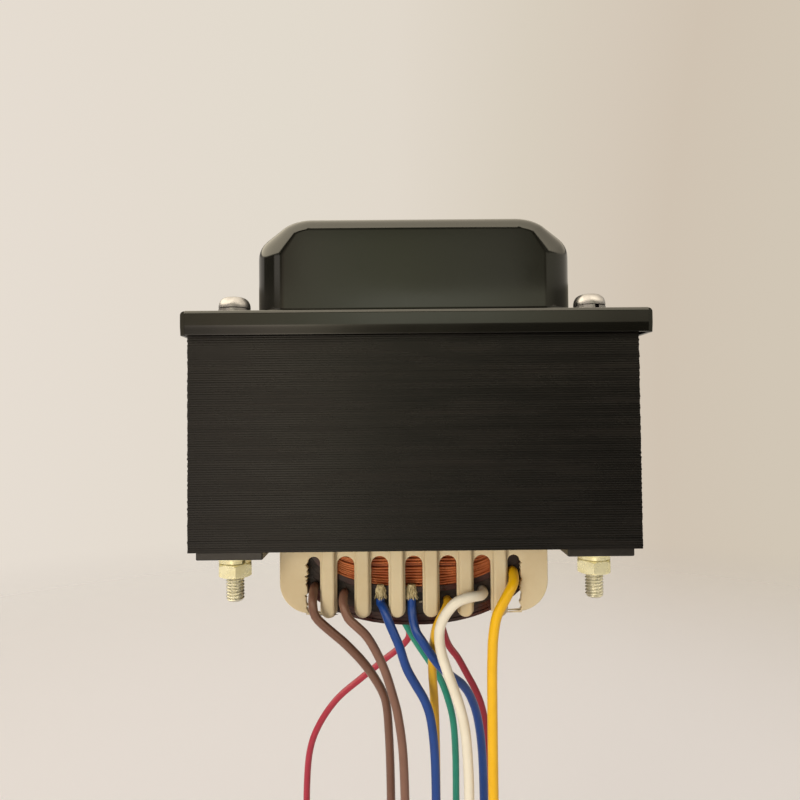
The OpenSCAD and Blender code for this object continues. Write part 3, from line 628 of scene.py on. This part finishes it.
def fillPlate(outline, holes, fromY, thick, edge):
    # a flat outline in X and Z, with rounded edges, from y = fromY backwards
    data = setAll(bpy.data.curves.new("plate", "CURVE"), dimensions="2D", fill_mode="BOTH",
                  extrude=(thick / 2 - edge) * mm, bevel_depth=edge * mm, bevel_resolution=2,
                  offset=-edge * mm)
    for loop in [outline] + holes:
        addLine(data, [(x * mm, z * mm, 0) for x, z in loop], True)
    mesh = takeMesh(addObject("plate", data))
    upright = Matrix.Rotation(math.pi / 2, 4, "X")
    mesh.transform(Matrix.Translation((0, (fromY + thick / 2) * mm, 0)) @ upright)
    return mesh


def joinMeshes(name, meshes):
    form = bmesh.new()
    for mesh in meshes:
        form.from_mesh(mesh)
    joined = bpy.data.meshes.new(name)
    form.to_mesh(joined)
    form.free()
    return joined


def flangeLoop(half, torn):
    # right half from the top, then its mirror image; the end slots' outer edges are torn
    base, top = coreLow.z, coreHigh.z + comb["upperReach"]
    r, upper = comb["cornerRadius"], comb["upperCorner"]
    teeth, pitch, width, endSlot = comb["teeth"], comb["pitch"], comb["tooth"], comb["endSlot"]
    slotWide = pitch - width
    combHalf = (teeth - 1) / 2 * pitch + width / 2
    tip = base - comb["reach"] + width / 2
    cornerEnd = base - comb["cornerStart"] - r
    endTop, slotTop = (base - comb["slotStart"] - wide / 2 for wide in (endSlot, slotWide))

    def halfLoop(seed):
        chance = random.Random(seed)
        points = arc(half - upper, top - upper, upper, 90, 0, 10)
        points += arc(half - r, base - comb["cornerStart"], r, 0, -90, 12)
        points += [(combHalf + endSlot + 0.05, cornerEnd)]
        for i in range(1, comb["tornSteps"]):
            t = i / comb["tornSteps"]
            ragged = abs(chance.gauss(0, 1)) * (torn if t > 0.05 else 0)
            notch = 0.6 * torn if chance.random() > 0.7 else 0
            points.append((combHalf + endSlot + ragged * 0.9 - notch, cornerEnd + t * (endTop - cornerEnd)))
        points += arc(combHalf + endSlot / 2, endTop, endSlot / 2, 0, 180, 8)
        for tooth in range(teeth // 2):
            x = ((teeth - 1) / 2 - tooth) * pitch
            points += arc(x, tip, width / 2, 0, -180, 12)
            quarters = 1 if tooth == teeth // 2 - 1 else 2
            points += arc(x - pitch / 2, slotTop, slotWide / 2, 0, 90 * quarters, 6 * quarters)
        return points

    left = [(-x, z) for x, z in reversed(halfLoop(11))]
    return halfLoop(3) + left[1:]


def makeBobbin():
    high = nodeBox("bobbin")[1]
    plateY, ribHigh, teeth, r = high.y - comb["ribHigh"], comb["ribHigh"], comb["teeth"], comb["rib"] / 2
    tubeX, tubeZ = core["tongue"] / 2 + comb["room"], (coreHigh.z - coreLow.z) / 2 + comb["room"]
    middle = (coreHigh.z + coreLow.z) / 2
    ribLow, ribTop = coreLow.z - comb["reach"] + comb["ribTip"], coreLow.z - comb["ribTop"]
    hole = [(x, middle + z) for x, z in rectangle(tubeX, tubeZ)]
    meshes = []
    for turn, torn in zip((0, 180), comb["torn"]):
        parts = [fillPlate(flangeLoop(high.x, torn), [hole], -plateY, comb["plate"], comb["edge"])]
        for i in range(teeth):
            x = (i - (teeth - 1) / 2) * comb["pitch"]
            bar = arc(x, ribLow + r, r, 180, 360, 14) + [(x + r, ribTop), (x - r, ribTop)]
            parts.append(fillPlate(bar, [], -plateY - ribHigh, ribHigh + comb["ribRoot"], comb["ribEdge"]))
        for mesh in parts:
            mesh.transform(Matrix.Rotation(math.radians(turn), 4, "Z"))
        meshes += parts
    tube = Shape()
    length = plateY - 0.3
    for out in (0, comb["wall"]):
        tube.loft([[(x, y, middle + z) for x, z in rectangle(tubeX + out, tubeZ + out)]
                   for y in (-length, length)])
    meshes.append(tube.mesh("tube"))
    addPiece("bobbin", joinMeshes("bobbin", meshes), paints["nylon"], "nylon", 40)


makeBobbin()
print("bobbin moulded")

coil = dict(side=7.3, rise=12.7, fullRise=21.7, layers=16, wire=0.74, insulation=0.06, wrap=0.08, margin=2.5,
            steps=22, roundness=0.9, bodyBack=0.62, uneven=0.35, sunk=0.25, wobble=0.05, folds=9)


def coilPoint(depth, turn):
    # from the tube at depth 0 by the inner winding's outside at 1 to the wrap's outside at 2
    stack = (coreHigh.z - coreLow.z) / 2
    tubeX, tubeZ = (a + comb["room"] + comb["wall"] for a in (core["tongue"] / 2, stack))

    def bulge(halfX, rise):
        across, up = (max(0, a) ** coil["roundness"] for a in (math.cos(turn), math.sin(turn)))
        return Vector((halfX * across, stack + rise * up))

    first = bulge(tubeX + coil["side"], coil["rise"])
    if depth <= 1:
        return Vector((tubeX, tubeZ)) * (1 - depth) + first * depth
    return first * (2 - depth) + bulge(nodeBox("outer_wrap")[1].x, coil["fullRise"]) * (depth - 1)


def coilLoop(depth, wobble=0, seed=0):
    steps = coil["steps"]
    middle = (coreHigh.z + coreLow.z) / 2
    quarter = [coilPoint(depth, math.pi / 2 * i / steps) for i in range(steps + 1)]
    flat = quarter + [Vector((-p.x, p.y)) for p in reversed(quarter)]
    chance = random.Random(seed)
    a, b = chance.uniform(0, 6), chance.uniform(0, 6)
    points = []
    for x, z in flat + [-p for p in flat]:
        wave = math.sin(x * 0.33 + a) + 0.6 * math.sin(x * 0.9 + b)
        points.append(Vector((x, 0, middle + z + wobble * wave)))
    return points


def coilBand(inner, outer, fromY, toY):
    shape = Shape()
    corners = ((outer, fromY), (outer, toY), (inner, toY), (inner, fromY))
    shape.loft([[p + Vector((0, y, 0)) for p in coilLoop(depth)] for depth, y in corners], around=True)
    return shape


def makeWindings():
    end = nodeBox("outer_wrap")[1].y
    wire, inside, margin = coil["wire"], end - coil["bodyBack"], end - coil["margin"]
    start, stop = 1 + coil["insulation"], 2 - coil["wrap"]
    wires = Shape()
    for i in range(coil["layers"]):
        for face in (-1, 1):
            setback = random.uniform(0, coil["uneven"]) + (coil["sunk"] if i % 3 == 2 else 0)
            for row in range(2):
                y = face * (end - wire / 2 - setback - row * wire)
                loop = coilLoop((i + 0.5) / coil["layers"], coil["wobble"], i * 7 + row)
                loop = [p + Vector((0, y, 0)) for p in loop]
                wires.loft(tubeRings(loop, wire / 2, 8, True), around=True)
    tape, film = Shape(), Shape()
    folds = coil["folds"]
    for face in (-1, 1):
        for i in range(folds):
            a, b = (start + (stop - start) * (i + share) / folds for share in (0, 0.93))
            back = random.uniform(0, 0.5)
            near, far = sorted((face * (end - back), face * margin))
            (film if i in (0, folds - 2, folds - 1) else tape).add(coilBand(a, b, near, far))
    for name, shape, tone, slot, *more in (
            # the winding body's darker copper is painted shade between the turns
            ("windingBody", coilBand(0.01, 0.99, -inside, inside), "copperDark", "enamelled_copper", 35,
             "inner_winding"),
            ("windingTurns", wires, "copper", "enamelled_copper", 80, "inner_winding"),
            ("interwindingInsulation", coilBand(1, start, -end, end), "wrap", "brown_insulation"),
            ("outerWinding", coilBand(start, stop, -margin, margin), "copperDark", "enamelled_copper"),
            ("marginTape", tape, "tape", "brown_insulation"),
            ("marginFilm", film, "wrap", "red_brown_wrap", 35, "margin_tape"),
            ("outerWrap", coilBand(stop, 2, -end, end), "wrap", "red_brown_wrap")):
        addPiece(name, shape, paints[tone], slot, *more)


makeWindings()
print("coil wound")

sleeves = dict(thick=2.6, long=3.2, base=0.5, threads=46, turn=2.399,
               places=[(-8, -22.5, -8.2), (-0.6, -22.5, -8.2)])
tails = dict(thick=0.7, routes=[
    [(-6, -21.4, -7.4), (-4.2, -21.4, -8.8), (-2.4, -21.4, -9.5)],
    [(9.6, -21.4, -9.4), (12, -21.4, -9.9), (14.6, -21.4, -9.6)],
    [(1.2, -21.4, -9.5), (3.4, -21.4, -9.2), (6, -21.4, -8.6)]])


def makeJoints():
    # glass braid over each joint, worn to loose threads
    shape = Shape()
    thick, high, base = sleeves["thick"], sleeves["long"], sleeves["base"]
    for x, y, z in sleeves["places"]:
        path = [Vector((x, y, z + base + (high - base) * i / 12)) for i in range(13)]
        shape.loft(tubeRings(path, lambda t: thick * (0.31 + 0.03 * math.sin(t * 17)), 16), True)
        for k in range(sleeves["threads"]):
            angle = k * sleeves["turn"]
            out = Vector((math.cos(angle), math.sin(angle), 0))
            r = thick / 2 * random.uniform(0.7, 0.95)
            start, stop = random.uniform(0.55, 1) * high, random.uniform(-0.35, 0.4)
            sway = Vector((random.uniform(-0.25, 0.25), random.uniform(-0.2, 0.1), 0))
            thread = []
            for share, down in ((0.75, 0), (1.02, 0.35), (0.9, 0.65), (1.2, 1)):
                drop = Vector((0, 0, start + (stop - start) * down))
                thread.append(Vector((x, y, z)) + out * r * share + sway * down + drop)
            shape.loft(tubeRings(curvePoints(thread, 0.5), lambda t: 0.13 - 0.07 * t, 6), True)
    addPiece("jointSleeves", shape, paints["braid"], "braided_sleeve")
    wires = Shape()
    for route in tails["routes"]:
        wires.loft(tubeRings(curvePoints(route, 0.5), tails["thick"] / 2 * 0.8, 10), True)
    addPiece("windingTails", wires, paints["tail"], "enamelled_copper")


makeJoints()
print("joints sleeved")

bolts = dict(places=[(-40, -32), (40, -32), (-40, 32), (40, 32)], turns=(17, 131, 74, 208), head=7.0,
             headHigh=2.6, recess=[(0.55, 0.28, -1.5), (1.8, 0.42, -0.1), (2.0, 0.45, 0.3)], washer=9.0,
             washerThick=0.8, washerEdge=0.12, spring=7.1, springThick=1.1, hole=4.2, nutFlats=7.0,
             nutHigh=2.9, nutTurns=(15, -17, -9, 24), pitch=0.7, thread=4.0, root=3.25, threadAbove=3.2)


def washerShape(z):
    r0, r1, edge, top = bolts["hole"] / 2, bolts["washer"] / 2, bolts["washerEdge"], z + bolts["washerThick"]
    profile = [(r0, z + edge), (r0 + edge, z), (r1 - edge * 1.6, z), (r1 - edge * 0.4, z + edge * 0.5),
               (r1, z + edge * 1.6), (r1, top - edge * 1.6), (r1 - edge * 0.4, top - edge * 0.5),
               (r1 - edge * 1.6, top), (r0 + edge, top), (r0, top - edge)]
    return lathe(profile, 48, True)


def springShape(z):
    # a square ring, split, with its ends a little apart in height
    outer, hole, thick = bolts["spring"], bolts["hole"], bolts["springThick"]
    middle, half = (outer + hole) / 4, (outer - hole) / 4
    section = [(-1, -0.7), (-0.7, -1), (0.7, -1), (1, -0.7), (1, 0.7), (0.7, 1), (-0.7, 1), (-1, 0.7)]
    rings = []
    for i in range(45):
        a = math.radians(8 + 344 * i / 44)
        lift = 0.1 * (i / 44 - 0.5)
        rings.append([((middle + u * half) * math.cos(a), (middle + u * half) * math.sin(a),
                       z + thick / 2 + v * (thick / 2 - 0.05) + lift) for u, v in section])
    shape = Shape()
    shape.loft(rings, True)
    return shape


def threadShape(top, tip):
    root, crest = bolts["root"] / 2, bolts["thread"] / 2
    rows = int((top - tip) / (bolts["pitch"] / 8)) + 1

    def radius(z, share):
        wave = abs((z / bolts["pitch"] - share) % 1 * 2 - 1)
        wave = min(1, max(0, wave * 1.35 - 0.12))
        return min(root + (crest - root) * wave, crest - 0.5 + (z - tip))

    heights = [tip + (top - tip) * i / rows for i in range(rows + 1)]
    shape = Shape()
    shape.loft([circle(36, z, lambda share: radius(z, share)) for z in heights], True)
    return shape


def nutShape(z):
    # six flats, whose corners are cut by a cone above and below
    high, inner, slope = bolts["nutHigh"], bolts["nutFlats"] / 2, math.radians(30)
    rings = []
    for share in (0, 0.03, 0.07, 0.12, 0.18, 0.5, 0.82, 0.88, 0.93, 0.97, 1):
        cone = inner - 0.05 + min(share, 1 - share) * high / math.tan(slope)
        most = min(cone, inner / math.cos(slope) - 0.02)
        rings.append(circle(72, z + share * high, lambda turn: min(
            inner / math.cos((2 * math.pi * turn + slope) % (2 * slope) - slope), most)))
    rings += [circle(72, z + high * share, bolts["thread"] / 2 * 0.98) for share in (1, 0)]
    shape = Shape()
    shape.loft(rings, around=True)
    return shape


def headMesh(z):
    # a pan head with a cross recess
    r, high = bolts["head"] / 2, bolts["headHigh"]
    profile = [(0.9, z), (r - 0.06, z), (r, z + 0.06), (r, z + high * 0.1)]
    for a in (math.pi / 2 * i / 14 for i in range(1, 14)):
        profile.append((r * math.cos(a) ** 0.5, z + high * (0.1 + 0.9 * math.sin(a))))
    head = lathe(profile + [(0.35, z + high)], 56).mesh("head")
    cutter = Shape()
    for turn in (0, 90):
        bar = Shape()
        bar.loft([[(x, y, z + high + up) for x, y in rectangle(long, wide)]
                  for long, wide, up in bolts["recess"]], True)
        cutter.add(bar, turn=turn)
    body, knife = addObject("head", head), addObject("knife", cutter.mesh("knife"))
    setAll(body.modifiers.new("recess", "BOOLEAN"), operation="DIFFERENCE", object=knife, solver="EXACT",
           use_self=True)
    result = takeMesh(body)
    bpy.data.objects.remove(knife)
    return result


def makeBolts():
    low, high = nodeBox("core_bolts")
    head = headMesh(high.z - bolts["headHigh"])
    nutTop = nodeBox("nuts")[0].z + bolts["nutHigh"]
    heads, threads, turns = [], Shape(), bolts["turns"]
    for (x, y), turn in zip(bolts["places"], turns):
        copy = head.copy()
        spin = Matrix.Rotation(math.radians(turn), 4, "Z")
        copy.transform(Matrix.Translation((x * mm, y * mm, 0)) @ spin)
        heads.append(copy)
        threads.add(threadShape(nutTop + bolts["threadAbove"], low.z), (x, y, 0), turn)
    head = joinMeshes("boltHeads", heads)
    addPiece("boltHeads", head, paints["silver"], "zinc_steel", 30, "core_bolts")
    addPiece("boltThreads", threads, paints["thread"], "zinc_steel", 60, "core_bolts")
    for name, make, spins, tone, slot, *more in (
            ("headFlatWashers", washerShape, [0] * 4, "silver", "zinc_steel"),
            ("headSpringWashers", springShape, [t + 150 for t in turns], "silver", "zinc_steel"),
            ("nutFlatWashers", washerShape, [0] * 4, "yellowZinc", "yellow_zinc"),
            ("nutSpringWashers", springShape, [t + 300 for t in turns], "yellowZinc", "yellow_zinc"),
            ("nuts", nutShape, bolts["nutTurns"], "yellowZinc", "yellow_zinc", 20)):
        shape, one = Shape(), make(nodeBox(nodeOf(name))[0].z)
        for (x, y), turn in zip(bolts["places"], spins):
            shape.add(one, (x, y, 0), turn)
        addPiece(name, shape, paints[tone], slot, *more)


makeBolts()
print("bolts tightened")


def makeRails():
    for name in ("clampRailLeft", "clampRailRight"):
        low, high = nodeBox(nodeOf(name))
        shape = Shape()
        shape.loft([[(high.x, high.y, z), (low.x, high.y, z), (low.x, low.y, z), (high.x, low.y, z)]
                    for z in (low.z, high.z)], True)
        addBevel(addPiece(name, shape, paints["rail"], "black_enamel"), 0.3)


makeRails()
print("rails placed")

# the backdrop's colours across the view are painted light: lighter on the left, darker to the right, with a
# painted soft shadow just right of the object near 0.39
stage = dict(floor=-157, floorColor=0xf4ede8, light=0.42, fadeFrom=0.25, fadeTo=0.9,
             backdrop=[(-0.55, 0xe6ddd2), (-0.37, 0xe4dbcf), (-0.16, 0xe2dacd), (0, 0xe1d8cb),
                       (0.19, 0xd8cebe), (0.31, 0xd4c8b8), (0.39, 0xd0c3b2), (0.52, 0xd1c6b5)])
# what shiny surfaces see: three bands of wall by the angle from the front, shaded by height, and a ceiling
room = dict(
    walls=[
        (-1, [(-180, (0.7, 0.64, 0.55)), (-104, (0.6, 0.55, 0.48)), (-60, (0.35, 0.3, 0.25)),
              (-24, (1.3, 1.12, 0.95)), (-17, (2.2, 1.9, 1.58)), (-12, (3.5, 3.0, 2.4)),
              (-8, (3.4, 3.0, 2.25)), (-4, (1.5, 1.33, 0.97)), (0, (0.55, 0.48, 0.36)),
              (10, (0.24, 0.21, 0.16)), (20, (0.04, 0.035, 0.025)), (60, (0.15, 0.13, 0.1)),
              (100, (0.6, 0.55, 0.45)), (180, (0.7, 0.64, 0.55))]),
        (0.11, [(-60, (0.3, 0.26, 0.2)), (-22, (0.7, 0.6, 0.42)), (-17, (0.95, 0.8, 0.55)),
                (-10, (1.1, 1.05, 0.74)), (-5, (1.35, 1.35, 1.0)), (-1, (1.75, 1.75, 1.35)),
                (8, (1.45, 1.45, 1.08)), (12, (1.2, 1.17, 0.84)), (17, (0.95, 0.88, 0.62)),
                (20, (0.7, 0.64, 0.46)), (60, (0.3, 0.27, 0.2))]),
        (0.201, [(-180, (0.75, 0.69, 0.6)), (-104, (0.75, 0.69, 0.6)), (-97, (0.1, 0.09, 0.07)),
                 (-52, (0.1, 0.09, 0.07)), (-48, (1.15, 1.05, 0.9)), (-29, (1.25, 1.15, 1.0)),
                 (-26, (0.2, 0.18, 0.12)), (-21, (0.2, 0.18, 0.12)), (-18, (0.6, 0.5, 0.38)),
                 (-10, (0.62, 0.54, 0.38)), (-9.5, (1.2, 1.13, 0.82)), (-5, (1.0, 1.0, 0.68)),
                 (0, (0.93, 0.93, 0.6)), (9, (0.78, 0.76, 0.55)), (11.5, (0.7, 0.67, 0.5)),
                 (12.6, (0.35, 0.33, 0.22)), (20, (0.14, 0.12, 0.08)), (25, (0.8, 0.75, 0.56)),
                 (100, (0.8, 0.73, 0.6)), (180, (0.75, 0.69, 0.6))])],
    shades=[(-1, 0.6), (-0.1, 0.9), (-0.06, 0.95), (-0.045, 0.35), (0.03, 0.35), (0.05, 0.7), (0.1, 0.8),
            (0.15, 0.95), (0.201, 1.05), (0.22, 1.02), (0.277, 1), (0.29, 0.65), (0.305, 0.6),
            (0.325, 0.3), (0.4, 0.2), (0.6, 0.2)],
    wallMost=4, shadeMost=1.5, ceilingLean=(0.42, 0.6, 0), ceilingFrom=0.55, ceilingTo=0.6,
    ceilingNear=(4.1, 3.65, 2.75), ceilingFar=(1.2, 1.06, 0.82))
lamps = [
    dict(name="key", place=(-820, -1290, 20), size=700, power=16.6, color=(1.0, 0.97, 0.92)),
    dict(name="fill", place=(600, -700, 60), size=600, power=0.55, color=(1.0, 0.92, 0.8)),
    dict(name="top", place=(-100, 150, 800), size=700, power=3.4, color=(1.0, 0.98, 0.95)),
]


def makeLamps():
    for lamp in lamps:
        data = setAll(bpy.data.lights.new(lamp["name"], "AREA"), shape="DISK", size=lamp["size"] * mm,
                      energy=lamp["power"], color=lamp["color"])
        place = Vector(lamp["place"])
        aim = Vector((0, 0, 25)) - place
        setAll(addObject(lamp["name"], data), location=place * mm, visible_glossy=False,
               rotation_euler=aim.to_track_quat("-Z", "Y").to_euler())


def stopRamp(tree, source, stops):
    ramp = addNode(tree, "ValToRGB", in0=source)
    spots = ramp.color_ramp.elements
    for place, color in stops:
        spots.new(place).color = tuple(color) + (1,)
    spots.remove(spots[0])
    spots.remove(spots[-1])
    return ramp.outputs["Color"]


def roomColor(tree, place, x, y, z):
    # a ramp holds no value over 1, so walls and shades are divided here and multiplied again below
    angle = mathNode(tree, "ARCTAN2", x, mathNode(tree, "MULTIPLY", y, -1))
    turn = mapRange(tree, angle, From_Min=-math.pi, From_Max=math.pi)
    walls = None
    for start, stops in room["walls"]:
        tone = stopRamp(tree, turn, [((a + 180) / 360 * 0.998 + 0.001, [c / room["wallMost"] for c in color])
                                     for a, color in stops])
        if walls:
            above = mapRange(tree, z, From_Min=start - 0.003, From_Max=start + 0.003)
            tone = mixColor(tree, above, walls, tone)
        walls = tone
    rise = mapRange(tree, z, From_Min=-1, From_Max=1)
    shades = stopRamp(tree, rise, [((h + 1) / 2 + 0.001, [level / room["shadeMost"]] * 3)
                                   for h, level in room["shades"]])
    lit = addNode(tree, "VectorMath", dict(operation="SCALE"), Scale=room["wallMost"] * room["shadeMost"],
                  in0=mixColor(tree, 1, walls, shades, "MULTIPLY"))
    # the ceiling is brightest over the front and the left
    lean = addNode(tree, "VectorMath", dict(operation="DOT_PRODUCT"), in0=place, in1=room["ceilingLean"])
    fall = mapRange(tree, lean.outputs["Value"], From_Min=-0.5, From_Max=0.5)
    ceiling = mixColor(tree, fall, room["ceilingNear"] + (1,), room["ceilingFar"] + (1,))
    height = mathNode(tree, "MULTIPLY_ADD", mathNode(tree, "ABSOLUTE", x), 0.3, z)
    mask = mapRange(tree, height, True, From_Min=room["ceilingFrom"], From_Max=room["ceilingTo"])
    return mixColor(tree, mask, lit.outputs[0], ceiling)


def makeStage():
    # the camera sees a pale backdrop with painted shade, lighter on the left, darker on the right and with a
    # painted soft shadow just right of the object; glossy rays see the room, and all others a plain light
    world = bpy.data.worlds.new("studio")
    bpy.context.scene.world = world
    world.use_nodes = True
    tree = world.node_tree
    tree.nodes.clear()
    place = addNode(tree, "TexCoord").outputs["Generated"]
    x, y, z = addNode(tree, "SeparateXYZ", in0=place).outputs
    across = mapRange(tree, x, From_Min=-0.6, From_Max=0.6)
    # painted shade: the backdrop darkens from left to right, with a painted soft shadow right of the object
    paintedShadeSweep = stopRamp(tree, across, [(at / 1.2 + 0.5, rgb(tone)[:3]) for at, tone in stage["backdrop"]])
    seen = addNode(tree, "Background", Color=paintedShadeSweep)
    shiny = addNode(tree, "Background", Color=roomColor(tree, place, x, y, z))
    plain = addNode(tree, "Background", Color=(1, 0.97, 0.93, 1), Strength=stage["light"])
    rays = addNode(tree, "LightPath").outputs
    light = plain.outputs[0]
    for ray, other in (("Is Glossy Ray", shiny), ("Is Camera Ray", seen)):
        light = addNode(tree, "MixShader", in0=rays[ray], in1=light, in2=other.outputs[0]).outputs[0]
    addNode(tree, "OutputWorld", in0=light)


def makeFloor():
    # it fades out far away, into the pale backdrop
    material = bpy.data.materials.new("paleFloor")
    material.use_nodes = True
    tree = material.node_tree
    away = addNode(tree, "VectorMath", dict(operation="LENGTH"), in0=ownPlace(tree)).outputs["Value"]
    fade = mapRange(tree, away, True, From_Min=stage["fadeFrom"], From_Max=stage["fadeTo"], To_Min=1,
                    To_Max=0)
    values = dict(Roughness=0.7, Base_Color=rgb(stage["floorColor"]), Alpha=fade)
    feed(tree, tree.nodes["Principled BSDF"], values)
    mesh = bpy.data.meshes.new("floor")
    size = stage["fadeTo"] * 1.1
    mesh.from_pydata([(x, y, 0) for x, y in rectangle(-size, -size)], [], [(0, 1, 2, 3)])
    mesh.materials.append(material)
    floor = addObject("floor", mesh)
    floor.location = (0, 0, stage["floor"] * mm)


makeLamps()
makeStage()
makeFloor()
bpy.context.scene.view_settings.view_transform = "Standard"
print("studio lit")
